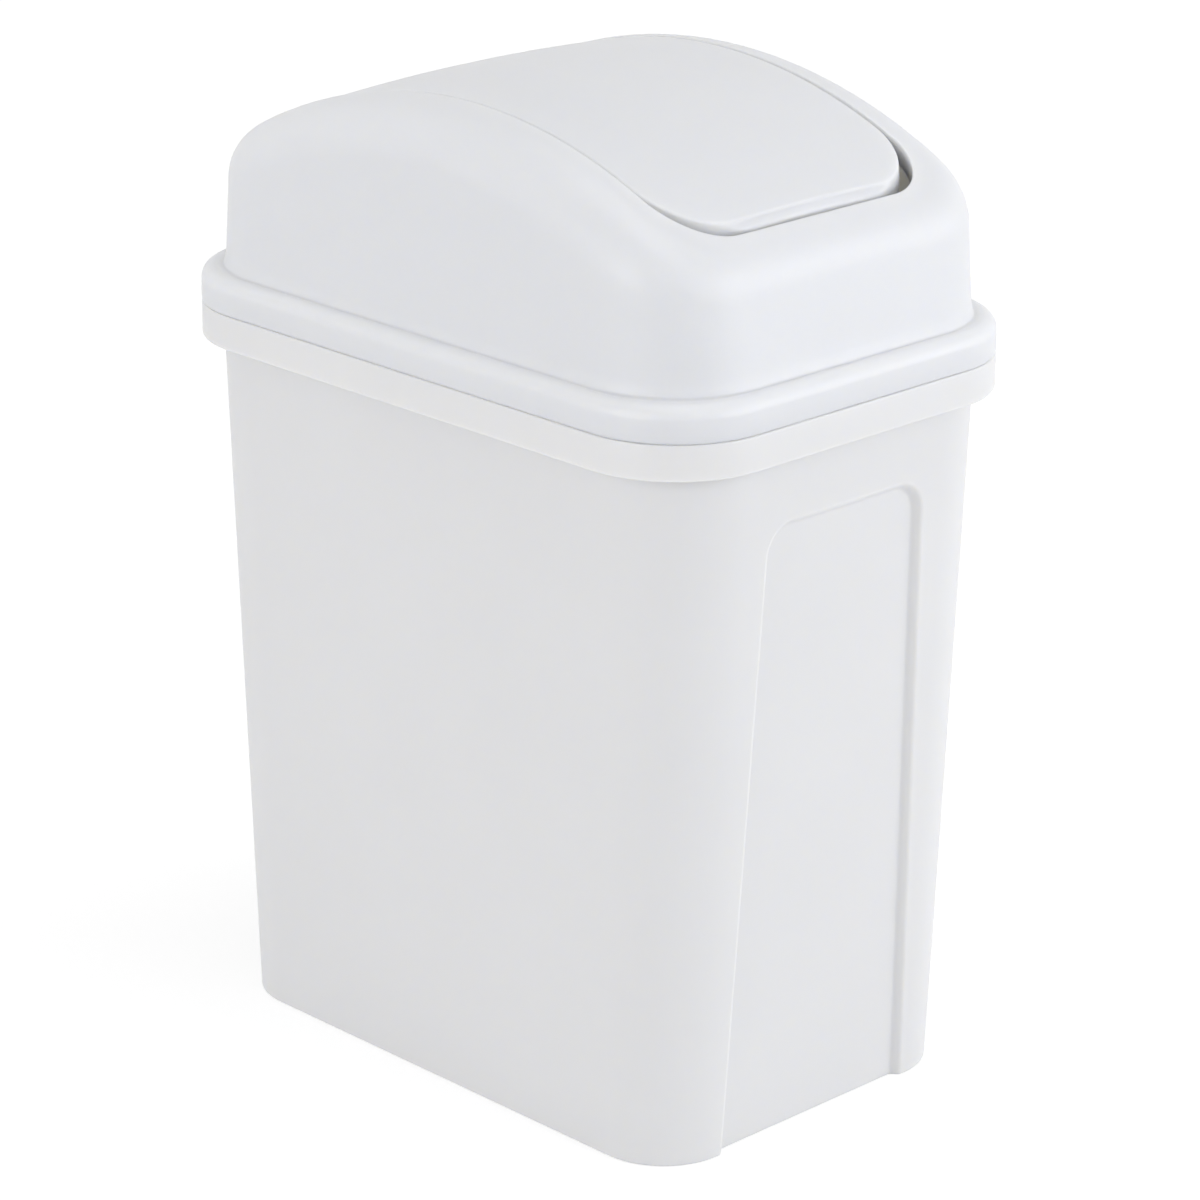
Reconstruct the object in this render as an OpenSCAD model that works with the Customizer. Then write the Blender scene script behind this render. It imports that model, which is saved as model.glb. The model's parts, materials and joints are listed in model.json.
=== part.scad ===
// Countertop waste bin with a lift-off hood and a swinging flap.
// Millimetres, +Z up. The origin is the middle of the base, on the table.
// The narrow faces look along -Y (front) and +Y (back), the broad faces along X.

/* [Bin body] */
// Width of the base over its walls, across the narrow face
base_w = 116.2; // [100:0.2:126]
// Depth of the base over its walls, along the broad face
base_d = 175.8; // [160:0.2:190]
// Corner radius of the base in plan
base_r = 20.6; // [12:0.2:24]
// Width of the mouth over its walls
mouth_w = 128.8; // [124:0.2:150]
// Depth of the mouth over its walls
mouth_d = 192.4; // [188:0.2:220]
// Corner radius of the mouth in plan
mouth_r = 28.2; // [22:0.2:34]
// Height from the table to the top of the rim
bin_h = 206.4; // [190:0.2:300]
// Thickness of the body's walls
bin_wall = 1.6; // [1.2:0.1:2.4]
// Thickness of the floor
floor_t = 2; // [1.5:0.1:4]
// How far the middle of the base is raised off the table
base_lift = 1.2; // [0.6:0.1:2.5]
// Width of the ring that the bin stands on
foot_w = 8; // [6:0.5:14]
// Height of the small chamfer round the foot
foot_chamfer = 0.8; // [0.4:0.1:1.5]

/* [Sunk panel in each narrow face] */
// Height of the panel's top edge, measured along the face
panel_h = 178.4; // [120:0.2:184]
// Width of the panel just below its top corners
panel_top_w = 59; // [40:0.5:64]
// Width of the panel at the table
panel_base_w = 71.2; // [50:0.2:74]
// Radius of the panel's top corners
panel_r = 9; // [4:0.5:14]
// How far the panel is sunk into the face
panel_sink = 2.3; // [1:0.1:3.5]

/* [Rim of the bin body] */
// How far the rim stands out past the broad walls
rim_out_x = 4.95; // [4.5:0.05:7]
// How far the rim stands out past the narrow walls
rim_out_y = 3.8; // [3.5:0.05:7]
// Corner radius of the rim in plan
rim_r = 29.4; // [24:0.2:36]
// Height of the rim's turned-down skirt
rim_h = 9.8; // [7:0.1:14]
// Thickness of the rim and its skirt
rim_wall = 1.5; // [1.2:0.1:2]
// Rounding of the two edges that meet at the seam
seam_round = 0.6; // [0.3:0.05:0.6]

/* [Lid hood] */
// Height of the band that sits on the bin's rim
band_h = 10.1; // [8:0.1:16]
// Rounding of the band's shoulder
band_round = 4; // [2:0.1:4.4]
// Thickness of the hood's walls and band
hood_wall = 1.6; // [1.3:0.1:2]
// How far the plug wall reaches down inside the mouth
plug_h = 6; // [4:0.1:12]
// Thickness of the plug wall
plug_wall = 1.4; // [1.2:0.1:2]
// Clearance round the plug wall, at the top of the mouth
plug_gap = 0.6; // [0.4:0.05:1]
// How far the broad walls of the hood stand in from the band
hood_in_x = 4.85; // [4.6:0.05:7]
// How far the end walls of the hood stand in from the band
hood_in_y = 5.1; // [4.6:0.05:8]
// Corner radius of the hood's foot in plan
hood_r = 28.8; // [24:0.2:34]
// How far each broad wall leans in, for each millimetre of height
lean_x = 0.036; // [0.01:0.002:0.06]
// How far each end wall leans in, for each millimetre of height
lean_y = 0.12; // [0.05:0.01:0.16]
// Height of the hood's crown above the band
crown_h = 59.1; // [56:0.1:72]
// Radius of the arch along the hood
arch_r = 162; // [150:1:200]
// Rounding of the edges between the arch and the walls
edge_r = 15; // [10:0.5:16]
// Corner radius of the hood's top in plan
top_r = 26; // [20:0.5:28]

/* [Opening in the hood] */
// Width of the opening
opening_w = 93; // [88:0.2:100]
// Length of the opening
opening_d = 164.6; // [140:0.2:166]
// Corner radius of the opening
opening_r = 17.5; // [10:0.5:24]
// Thickness of the edge turned down round the opening
edge_wall = 1.4; // [1.2:0.1:2]
// Depth of that edge below the hood's wall
edge_drop = 4; // [2:0.2:6]

/* [Swing flap] */
// Gap between the flap and each long side of the opening
flap_gap_x = 1.3; // [1:0.1:3]
// Gap between the flap and each end of the opening
flap_gap_y = 3.1; // [2.8:0.1:6]
// Corner radius of the flap in plan
flap_r = 19.5; // [12:0.5:24]
// Thickness of the flap's shell
flap_wall = 1.6; // [1.3:0.1:2]
// Radius of the arch along the flap
flap_arch_r = 160; // [150:1:200]
// How far the flap's crown stands above the hood's crown
flap_rise = 1.4; // [0.8:0.1:2.5]
// How far the flap's long edges drop below its centre line
flap_camber = 1.5; // [0.5:0.1:2.5]
// Thickness of the edge turned down round the flap
skirt_wall = 1.4; // [1.2:0.1:2]
// Depth of that edge along the long sides, below the shell
skirt_drop = 3.4; // [2:0.2:5]
// Depth of the lip at each end of the flap, below the shell
lip_drop = 8; // [5:0.5:9]

/* [Pivot of the flap] */
// Drop of the pivot's axis below the hood's crown
pivot_drop = 6.1; // [5.8:0.1:9]
// Radius of the flap's pins
pin_r = 2.5; // [2:0.1:2.6]
// Running clearance round each pin
pin_gap = 0.05; // [0.03:0.01:0.1]
// How far each pin stands out past its lug
pin_out = 1; // [0.5:0.1:2]
// Radius of the shoulder that keeps the flap in the middle
shoulder_r = 4.2; // [3.4:0.1:4.2]
// Side play between each shoulder and its lug
side_play = 0.4; // [0.3:0.05:0.8]
// Thickness of the lugs under the hood
lug_t = 2.4; // [2:0.1:3]
// Radius of the rounded end of each lug
lug_r = 5.5; // [4.6:0.1:7]

/* [Hidden] */

thin = 0.01;
// How far a cut runs past what it cuts
clear = 5;
fn_plan = 96;
fn_ball = 32;
fn_arch = 240;
fn_camber = 1440;
fn_bore = 64;

// bin body
rim_w = mouth_w + 2 * rim_out_x;
rim_d = mouth_d + 2 * rim_out_y;
rim_reach = 10;
face_tilt = atan((mouth_d - base_d) / 2 / bin_h);
wall_slope_r = (mouth_r - base_r) / bin_h;
floor_z = base_lift + floor_t;

// hood
band_top = bin_h + band_h;
band_reach = 14;
hood_w = rim_w - 2 * hood_in_x;
hood_d = rim_d - 2 * hood_in_y;
plug_w = mouth_w - 2 * bin_wall - 2 * plug_gap;
plug_d = mouth_d - 2 * bin_wall - 2 * plug_gap;
plug_r = mouth_r - bin_wall - plug_gap;
crown_z = band_top + crown_h;
arch_z = crown_z - arch_r;
ball_corner = top_r - edge_r;
side_steps = 10;
corner_steps = 3;
// The balls touch the leaning walls and the arch. A few rounds settle the end ones.
function ball_z(y) = arch_z + sqrt(pow(arch_r - edge_r, 2) - y * y);
function ball_x(y) = hood_w / 2 - lean_x * (ball_z(y) - band_top) - edge_r;
function end_wall_y(z) = hood_d / 2 - lean_y * (z - band_top);
function settle(y, rounds) = rounds < 1 ? y : settle(end_wall_y(ball_z(y)) - edge_r, rounds - 1);
settle_rounds = 8;
ball_y = settle(hood_d / 2 - 2 * edge_r, settle_rounds);

// flap
flap_w = opening_w - 2 * flap_gap_x;
flap_d = opening_d - 2 * flap_gap_y;
flap_crown_z = crown_z + flap_rise;
flap_arch_z = flap_crown_z - flap_arch_r;
camber_r = (pow(flap_w / 2, 2) + pow(flap_camber, 2)) / (2 * flap_camber);
skirt_tuck = 0.5;
lip_from_y = flap_d / 2 - flap_r;

// pivot
pivot_z = crown_z - pivot_drop;
lug_in = opening_w / 2;
lug_out = lug_in + lug_t;
pin_end = lug_out + pin_out;
lug_root = 0.3;
lug_top_z = crown_z - hood_wall + lug_root;

// A rectangle with round corners, from plain squares and circles.
module round_rect(w, d, r) {
    square([w - 2 * r, d], center = true);
    square([w, d - 2 * r], center = true);
    for (x = [-1, 1], y = [-1, 1])
        translate([x * (w / 2 - r), y * (d / 2 - r)])
            circle(r, $fn = fn_plan);
}

module round_block(w, d, r, z0, z1) {
    translate([0, 0, z0])
        linear_extrude(z1 - z0)
            round_rect(w, d, r);
}

// One thin layer of a leaning wall.
module layer(w, d, r, z) {
    round_block(w, d, r, z, z + thin);
}

// A profile swept round a rectangle with round corners. The profile's x is
// the distance outwards from the rectangle, and its y is the height.
module swept_ring(w, d, r) {
    for (i = [0, 1, 2, 3])
        translate([(i == 0 || i == 3 ? 1 : -1) * (w / 2 - r), (i < 2 ? 1 : -1) * (d / 2 - r), 0])
            rotate([0, 0, 90 * i])
                rotate_extrude(angle = 90, $fn = fn_plan)
                    translate([r, 0])
                        children();
    for (a = [0, 180]) {
        rotate([0, 0, a])
            straight_run(w / 2, d - 2 * r)
                children();
        rotate([0, 0, a + 90])
            straight_run(d / 2, w - 2 * r)
                children();
    }
}

module straight_run(out, run) {
    translate([out, run / 2, 0])
        rotate([90, 0, 0])
            linear_extrude(run)
                children();
}

// The leaning shape of the bin, drawn in by inset all round, from z0 up.
module bin_form(inset, z0, z1) {
    function w(z) = base_w + (mouth_w - base_w) * z / bin_h - 2 * inset;
    function d(z) = base_d + (mouth_d - base_d) * z / bin_h - 2 * inset;
    function r(z) = base_r + wall_slope_r * z - inset;
    hull() {
        layer(w(z0) - 2 * foot_chamfer, d(z0) - 2 * foot_chamfer, r(z0) - foot_chamfer, z0);
        layer(w(z0 + foot_chamfer), d(z0 + foot_chamfer), r(z0 + foot_chamfer), z0 + foot_chamfer);
        layer(w(z1), d(z1), r(z1), z1 - thin);
    }
}

// The sunk panel of the front face, square to the leaning face.
module panel(depth, grow) {
    translate([0, -base_d / 2, 0])
        rotate([90 + face_tilt, 0, 0])
            translate([0, 0, -depth])
                linear_extrude(depth + clear)
                    panel_outline(grow);
}

module panel_outline(grow) {
    hull() {
        for (s = [-1, 1])
            translate([s * (panel_top_w / 2 - panel_r), panel_h - panel_r])
                circle(panel_r + grow, $fn = fn_plan);
        translate([-panel_base_w / 2 - grow, -clear])
            square([panel_base_w + 2 * grow, clear]);
    }
}

module both_panels(depth, grow) {
    panel(depth, grow);
    rotate([0, 0, 180])
        panel(depth, grow);
}

module rim_profile() {
    translate([-rim_reach, bin_h - rim_wall])
        square([rim_reach - seam_round, rim_wall]);
    translate([-rim_wall, bin_h - rim_h + rim_wall / 2])
        square([rim_wall, rim_h - rim_wall / 2 - seam_round]);
    translate([-seam_round, bin_h - seam_round])
        circle(seam_round, $fn = fn_bore);
    translate([-rim_wall / 2, bin_h - rim_h + rim_wall / 2])
        circle(rim_wall / 2, $fn = fn_bore);
}

module bin_body() {
    color("whitesmoke")
        difference() {
            union() {
                difference() {
                    bin_form(0, 0, bin_h);
                    both_panels(panel_sink, 0);
                }
                swept_ring(rim_w, rim_d, rim_r)
                    rim_profile();
            }
            difference() {
                bin_form(bin_wall, floor_z, bin_h + clear);
                both_panels(panel_sink + bin_wall, bin_wall);
            }
            round_block(base_w - 2 * foot_w, base_d - 2 * foot_w, base_r - foot_w / 2, -clear, base_lift);
        }
}

// The hood's shape: a foot, and balls along the arch's edge that round it.
module hood_form(inset, foot_z) {
    hull() {
        layer(hood_w - 2 * inset, hood_d - 2 * inset, hood_r - inset, foot_z);
        for (sx = [-1, 1])
            edge_balls(sx, edge_r - inset);
    }
}

module edge_balls(sx, r) {
    run = ball_y - ball_corner;
    for (i = [0:side_steps]) {
        y = run * (2 * i / side_steps - 1);
        translate([sx * ball_x(y), y, ball_z(y)])
            sphere(r, $fn = fn_ball);
    }
    for (sy = [-1, 1], i = [1:corner_steps]) {
        a = 90 * i / corner_steps;
        y = sy * (run + ball_corner * sin(a));
        translate([sx * (ball_x(y) - ball_corner * (1 - cos(a))), y, ball_z(y)])
            sphere(r, $fn = fn_ball);
    }
}

// Everything below an arch of radius r about an axis along X.
module arch_block(r, axis_z) {
    translate([0, 0, axis_z])
        rotate([0, 90, 0])
            cylinder(r = r, h = rim_w, center = true, $fn = fn_arch);
}

module band_profile() {
    difference() {
        band_section(0);
        translate([0, -thin])
            band_section(hood_wall);
    }
}

// The band's section drawn in by inset: upright, shoulder and flat top.
module band_section(inset) {
    top = band_top - inset;
    low_round = inset == 0 ? seam_round : thin;
    translate([-band_reach, bin_h])
        square([band_reach - band_round, top - bin_h]);
    translate([-band_round, bin_h + low_round])
        square([band_round - inset, top - band_round + inset - bin_h - low_round]);
    translate([-band_round, bin_h])
        square([band_round - inset - low_round, band_round]);
    translate([-inset - low_round, bin_h + low_round])
        circle(low_round, $fn = fn_bore);
    translate([-band_round, band_top - band_round])
        circle(band_round - inset, $fn = fn_bore);
}

module lid_band() {
    difference() {
        swept_ring(rim_w, rim_d, rim_r)
            band_profile();
        round_block(plug_w - 2 * plug_wall, plug_d - 2 * plug_wall, plug_r - plug_wall, 0, crown_z);
    }
    difference() {
        round_block(plug_w, plug_d, plug_r, bin_h - plug_h, band_top - hood_wall / 2);
        round_block(plug_w - 2 * plug_wall, plug_d - 2 * plug_wall, plug_r - plug_wall, 0, crown_z);
    }
}

module opening_block(grow) {
    w = opening_w + 2 * grow;
    d = opening_d + 2 * grow;
    round_block(w, d, opening_r + grow, band_top + clear, crown_z + clear);
}

module opening_edge() {
    difference() {
        intersection() {
            opening_block(edge_wall);
            arch_block(arch_r - hood_wall / 2, arch_z);
        }
        opening_block(0);
        arch_block(arch_r - hood_wall - edge_drop, arch_z);
    }
}

module lug() {
    translate([lug_in, 0, pivot_z])
        rotate([0, 90, 0])
            cylinder(r = lug_r, h = lug_t, $fn = fn_bore);
    translate([lug_in, -lug_r, pivot_z])
        cube([lug_t, 2 * lug_r, lug_top_z - pivot_z]);
}

// The bore in each lug stops short of the hood's wall, so it doesn't show outside.
module lug_bore() {
    translate([lug_in - edge_wall, 0, pivot_z])
        rotate([0, 90, 0])
            cylinder(r = pin_r + pin_gap, h = pin_end + side_play - lug_in + edge_wall, $fn = fn_bore);
}

module lid_hood() {
    color("white")
        difference() {
            union() {
                difference() {
                    hood_form(0, band_top - hood_wall / 2);
                    hood_form(hood_wall, band_top - hood_wall);
                    opening_block(0);
                }
                lid_band();
                opening_edge();
                lug();
                mirror([1, 0, 0])
                    lug();
            }
            lug_bore();
            mirror([1, 0, 0])
                lug_bore();
        }
}

// The flap's curved form, drawn in by inset: an arch along Y, cambered along X.
module flap_form(inset) {
    translate([0, 0, flap_arch_z])
        rotate([0, 90, 0])
            rotate_extrude($fn = fn_arch)
                intersection() {
                    translate([flap_arch_r - camber_r, 0])
                        circle(camber_r - inset, $fn = fn_camber);
                    translate([0, -opening_w / 2])
                        square([flap_arch_r + clear, opening_w]);
                }
}

module flap_block(inset, r) {
    round_block(flap_w - 2 * inset, flap_d - 2 * inset, r - inset, band_top, flap_crown_z + clear);
}

// The turned-down edge round the flap, down to an arch of the given drop.
module flap_skirt(drop) {
    difference() {
        intersection() {
            flap_block(0, flap_r);
            flap_form(skirt_tuck);
        }
        flap_block(skirt_wall, flap_r);
        flap_form(flap_wall + drop);
    }
}

module end_lips() {
    intersection() {
        flap_skirt(lip_drop);
        for (s = [-1, 1])
            translate([-flap_w / 2, s * (lip_from_y + flap_d / 2) - flap_d / 2, band_top])
                cube([flap_w, flap_d, crown_h + clear]);
    }
}

module pivot_ear() {
    translate([flap_w / 2 - skirt_wall, 0, pivot_z])
        rotate([0, 90, 0])
            cylinder(r = shoulder_r, h = skirt_wall + flap_gap_x - side_play, $fn = fn_bore);
    translate([flap_w / 2 - skirt_wall, 0, pivot_z])
        rotate([0, 90, 0])
            cylinder(r = pin_r, h = pin_end - flap_w / 2 + skirt_wall, $fn = fn_bore);
}

module swing_flap() {
    color("snow") {
        intersection() {
            difference() {
                flap_form(0);
                flap_form(flap_wall);
            }
            flap_block(0, flap_r);
        }
        flap_skirt(skirt_drop);
        end_lips();
        pivot_ear();
        mirror([1, 0, 0])
            pivot_ear();
    }
}

bin_body();
lid_hood();
swing_flap();
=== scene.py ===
# %% [markdown]
# # A countertop bin with a swing lid
# The real thing is three injection mouldings in white polypropylene: a tapered bin with a rolled rim, a
# hood that sits loose on the rim, and a flap that swings in the hood's opening on two moulded pins. The
# construction is already made and packed with its joints. This notebook gives each moulding the surface
# that a mould would give it: true roundings, fillets, wall thickness, a satin finish. Nothing is moved or
# resized.

# %% Load the construction
import json
import math

import bmesh
import bpy
import numpy as np
from mathutils import Matrix, Vector


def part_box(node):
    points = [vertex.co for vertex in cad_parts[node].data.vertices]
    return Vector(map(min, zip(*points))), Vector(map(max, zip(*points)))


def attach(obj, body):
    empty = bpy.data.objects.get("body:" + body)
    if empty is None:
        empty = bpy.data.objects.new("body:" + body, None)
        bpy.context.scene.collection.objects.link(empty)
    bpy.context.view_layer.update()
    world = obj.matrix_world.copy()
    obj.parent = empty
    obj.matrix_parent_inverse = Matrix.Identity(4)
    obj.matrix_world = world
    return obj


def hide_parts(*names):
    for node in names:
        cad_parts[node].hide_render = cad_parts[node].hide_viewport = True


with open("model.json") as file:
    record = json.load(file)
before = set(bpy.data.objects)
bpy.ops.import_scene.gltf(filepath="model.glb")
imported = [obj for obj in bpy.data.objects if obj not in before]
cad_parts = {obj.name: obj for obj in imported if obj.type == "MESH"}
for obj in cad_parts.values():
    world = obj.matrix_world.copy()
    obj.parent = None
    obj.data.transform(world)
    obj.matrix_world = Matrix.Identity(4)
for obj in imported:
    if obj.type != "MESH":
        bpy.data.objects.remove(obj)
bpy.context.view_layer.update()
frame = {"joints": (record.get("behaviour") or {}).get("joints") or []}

# %% [markdown]
# ## Sizes
# Every size below is in millimetres, as on a mould maker's drawing. What the construction can tell is read
# from it: the rim's width and depth, the height of the rim, the foot of the plug wall, the crown of the
# flap and the pivot's axis. The rest are the moulding's own radii, walls and drafts. An outline is a
# rectangle with round corners, written as width, depth and corner radius.

# %% Sizes in millimetres
MM = 0.001
bin_low, bin_high = (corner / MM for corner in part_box("bin_body"))
hood_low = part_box("lid_hood")[0] / MM
flap_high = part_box("swing_flap")[1] / MM
PIVOT_Z = next(j["pos_m"][2] for j in frame["joints"] if j["name"] == "flap_swing") / MM

BASE = np.array((116.2, 175.8, 20.6))
MOUTH = np.array((128.8, 192.4, 28.2))
RIM = np.array((bin_high.x - bin_low.x, bin_high.y - bin_low.y, 29.4))
BIN_H = bin_high.z
WALL = 1.6
print(f"rim {RIM[0]:.1f} x {RIM[1]:.1f} at {BIN_H:.1f} mm")
print(f"pivot at {PIVOT_Z:.1f}, crown at {flap_high.z:.2f} mm")

# %% [markdown]
# ## One way to make a moulded shell
# A moulding like this is a stack of outlines: each level is a rectangle with round corners, and the section
# says how far it stands in or out and how high. So every shell here is a list of levels with the same
# number of points, and a skin of quads between neighbouring levels. A subdivision surface or a Bevel
# modifier could round a simpler cage, but then the radii would only be near the real ones. Here each radius
# is written as it is on the drawing.

# %% Columns and levels
CORNER_STEPS = 20


def columns(long_shares, short_shares):
    """Each column's place, as shares of the straight half sides, and its outward direction in plan."""
    places, directions = [], []
    for quarter, (sx, sy) in enumerate(((1, 1), (-1, 1), (-1, -1), (1, -1))):
        for step in range(CORNER_STEPS + 1):
            angle = (quarter + step / CORNER_STEPS) * math.pi / 2
            places.append((sx, sy))
            directions.append((math.cos(angle), math.sin(angle)))
        on_short_side = quarter % 2 == 0
        turn = -1 if quarter < 2 else 1
        for share in short_shares if on_short_side else long_shares:
            places.append((turn * share, sy) if on_short_side else (sx, turn * share))
            directions.append((0, sy) if on_short_side else (sx, 0))
    return np.array(places, float), np.array(directions, float)


def even_shares(steps):
    """Evenly spread places along a straight side, without its two ends."""
    return np.linspace(-1, 1, steps + 1)[1:-1]


def level(outline, grow, z, grid):
    """One level of a shell: the outline grown by a distance, at a height or at one height for each column."""
    width, depth, radius = outline
    places, directions = grid
    half_straights = np.array((width / 2 - radius, depth / 2 - radius))
    plan = places * half_straights + directions * (radius + grow)
    return np.column_stack((plan, np.broadcast_to(z, len(plan))))


def arc(outline, grow, z, radius, start, end, steps, grid):
    """Levels along a rounding of the section about grow and z. Angles run from outwards to up."""
    angles = np.radians(np.linspace(start, end, steps + 1))
    return [level(outline, grow + radius * math.cos(a), z + radius * math.sin(a), grid) for a in angles]


# %% A skin over levels, and a piece from a mesh
WELD = 1e-4


def skin(name, shells, closed):
    """A mesh of quads over each shell's levels. A closed shell joins its last level to its first."""
    points, quads = [], []
    for levels in shells:
        stack = np.array(levels)
        rows, count = stack.shape[:2]
        index = np.arange(rows * count).reshape(rows, count) + sum(len(p) for p in points)
        if closed:
            index = np.vstack((index, index[:1]))
        beside = np.roll(index, -1, axis=1)
        quads += np.stack((index[:-1], beside[:-1], beside[1:], index[1:]), axis=-1).reshape(-1, 4).tolist()
        points.append(stack.reshape(-1, 3) * MM)
    mesh = bpy.data.meshes.new(name)
    mesh.from_pydata(np.vstack(points), [], quads)
    return weld(mesh)


def weld(mesh):
    """Joins points that lie on each other, which closes seams and poles, and turns the faces outwards."""
    shell = bmesh.new()
    shell.from_mesh(mesh)
    bmesh.ops.remove_doubles(shell, verts=shell.verts, dist=WELD * MM)
    bmesh.ops.recalc_face_normals(shell, faces=shell.faces)
    shell.to_mesh(mesh)
    shell.free()
    mesh.shade_smooth()
    return mesh


def add_piece(name, mesh):
    """A new object at the origin that holds the mesh, with a line that says what was made."""
    obj = bpy.data.objects.new(name, mesh)
    bpy.context.scene.collection.objects.link(obj)
    shell = bmesh.new()
    shell.from_mesh(mesh)
    open_edges = sum(not edge.is_manifold for edge in shell.edges)
    volume = shell.calc_volume(signed=True) / MM**3
    print(f"{name}: {len(mesh.polygons)} faces, {open_edges} open edges, {volume / 1000:.1f} cm3")
    shell.free()
    return obj


# %% [markdown]
# ## The bin's sunk panels
# Each narrow face has a long panel sunk a little over 2 mm into it, open at the foot, with round top
# corners. In the mould it is a raised pad, so its sides have draft and soft edges. A Boolean cut would
# leave sharp walls and torn shading. Instead the wall is pressed in by a rule: the distance to the panel's
# outline says how deep each point lies, and the grid is dense where that rule bends.

# %% The panel's rule
PANEL_H = 178.4
PANEL_TOP_W = 59
PANEL_BASE_W = 71.2
PANEL_R = 9
PANEL_SINK = 2.3
DRAFT_RUN = 2.5
DRAFT_SOFT = 0.8
DRAFT_OUTSIDE = 0.5
face_tilt = math.atan((MOUTH[1] - BASE[1]) / 2 / BIN_H)
corner_x = PANEL_TOP_W / 2 - PANEL_R
corner_z = PANEL_H - PANEL_R
side_angle = math.atan2(corner_x - PANEL_BASE_W / 2, corner_z) + math.asin(
    PANEL_R / math.hypot(PANEL_BASE_W / 2 - corner_x, corner_z)
)
side_slope = math.tan(side_angle)


def panel_distance(x, up):
    """Distance from the panel's outline on the leaning face, below zero inside it."""
    x = np.abs(x)
    side = (x - PANEL_BASE_W / 2) * math.cos(side_angle) - up * math.sin(side_angle)
    across, above = x - corner_x, up - corner_z
    in_corner = (across > 0) & (above * math.cos(side_angle) + across * math.sin(side_angle) > 0)
    return np.where(in_corner, np.hypot(across, above) - PANEL_R, np.maximum(side, up - PANEL_H))


def draft(run):
    """Share of the full depth at a distance down the drafted side, soft at the top and the foot."""
    run = np.clip(run, 0, DRAFT_RUN)
    steep = DRAFT_RUN - DRAFT_SOFT
    first = np.minimum(run, DRAFT_SOFT) ** 2 / (2 * DRAFT_SOFT)
    middle = np.clip(run - DRAFT_SOFT, 0, steep - DRAFT_SOFT)
    rest = np.maximum(run - steep, 0)
    return (first + middle + rest - rest**2 / (2 * DRAFT_SOFT)) / steep


def press_panels(points, grow):
    """Presses both narrow faces in by the panel's rule. The inner skin passes its wall as grow."""
    points = points.copy()
    distance = panel_distance(points[:, 0], points[:, 2] / math.cos(face_tilt)) - grow
    points[:, 1] -= np.sign(points[:, 1]) * PANEL_SINK * draft(DRAFT_OUTSIDE - distance)
    return points


print(f"panel sides lean {math.degrees(side_angle):.2f} degrees")

# %% [markdown]
# ## The bin's shell
# One closed skin: the raised middle of the base, the ring that it stands on, the leaning outer wall, the
# inner wall and the floor. On the narrow faces the columns follow the panel's leaning sides, so the drafted
# edge runs along the grid and stays clean.

# %% The bin's shell
BASE_LIFT = 1.2
FLOOR_Z = BASE_LIFT + 2
FOOT_W = 8
FOOT_ROUND = 0.8
BASE_STEP_ROUND = 0.4
FLOOR_FILLET = 3
WALL_TOP = BIN_H - 0.6
EDGE_BAND = 13.5
EDGE_OUT = 1.8
EDGE_STEP = 0.45
BODY_LONG_STEPS = 12
PANEL_MIDDLE_STEPS = 7
LOW_WALL_LEVELS = 14
HIGH_WALL_STEPS = 4
DENSE_BELOW = 3
DENSE_ABOVE = 2


def bin_outline(z):
    return BASE + (MOUTH - BASE) * z / BIN_H


def bin_grid(z):
    """The bin's columns at a height: dense beside the panel's edges, which lean."""
    width, _, radius = bin_outline(z)
    edge = PANEL_BASE_W / 2 + side_slope * z
    band = np.arange(edge - EDGE_BAND, edge + EDGE_OUT, EDGE_STEP)
    middle = np.linspace(0, band[0], PANEL_MIDDLE_STEPS + 1)[1:-1]
    half = np.concatenate((middle, band))
    short_side = np.concatenate((-half[::-1], (0,), half)) / (width / 2 - radius)
    return columns(even_shares(BODY_LONG_STEPS), short_side)


def wall_heights():
    """Heights of the wall's levels, dense round the panel's top edge and its corners."""
    below = np.linspace(FOOT_ROUND, corner_z - DENSE_BELOW, LOW_WALL_LEVELS)
    dense = np.arange(below[-1] + EDGE_STEP, PANEL_H + DENSE_ABOVE, EDGE_STEP)
    above = np.linspace(dense[-1], WALL_TOP, HIGH_WALL_STEPS + 1)[1:]
    return np.concatenate((below, dense, above))


foot_grid = bin_grid(0)
underside = [level(BASE, -BASE[1], BASE_LIFT, foot_grid) * (0, 0, 1)]
step = BASE_STEP_ROUND
underside += arc(BASE, -FOOT_W - step, BASE_LIFT - step, step, 90, 0, 3, foot_grid)
underside += arc(BASE, -FOOT_W + step, step, step, 180, 270, 3, foot_grid)
foot_edge = arc(BASE, -FOOT_ROUND, FOOT_ROUND, FOOT_ROUND, 270, 360, 5, foot_grid)
outer = [level(bin_outline(z), 0, z, bin_grid(z)) for z in wall_heights()[1:]]
fillet_z = FLOOR_Z + FLOOR_FILLET
inner_heights = [z for z in wall_heights()[:0:-1] if z > fillet_z]
inner = [level(bin_outline(z), -WALL, z, bin_grid(z)) for z in inner_heights]
floor_grid = bin_grid(fillet_z)
floor_outline = bin_outline(fillet_z)
floor_edge = arc(floor_outline, -WALL - FLOOR_FILLET, fillet_z, FLOOR_FILLET, 360, 270, 6, floor_grid)
floor = [level(floor_outline, -4 * FLOOR_FILLET, FLOOR_Z, floor_grid)]
floor += [level(BASE, 0, FLOOR_Z, floor_grid) * (0, 0, 1)]
shell_levels = underside + [press_panels(points, 0) for points in foot_edge + outer]
shell_levels += [press_panels(points, WALL) for points in inner + floor_edge] + floor
bin_shell = add_piece("bin_shell", skin("bin_shell", [shell_levels], closed=False))

# %% [markdown]
# ## The dome of the hood
# The hood's top is the shape that a ball of 15 mm radius leaves when it rolls along inside it: an arch
# along the bin, walls that lean in a little, and one even rounding between them that runs round the
# corners. That is how a mould's edge is cut with a ball-nosed tool, and it is also how it can be worked
# out: the ball's centre follows a path, and the surface over any point in plan is the highest ball over
# that point.

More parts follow.
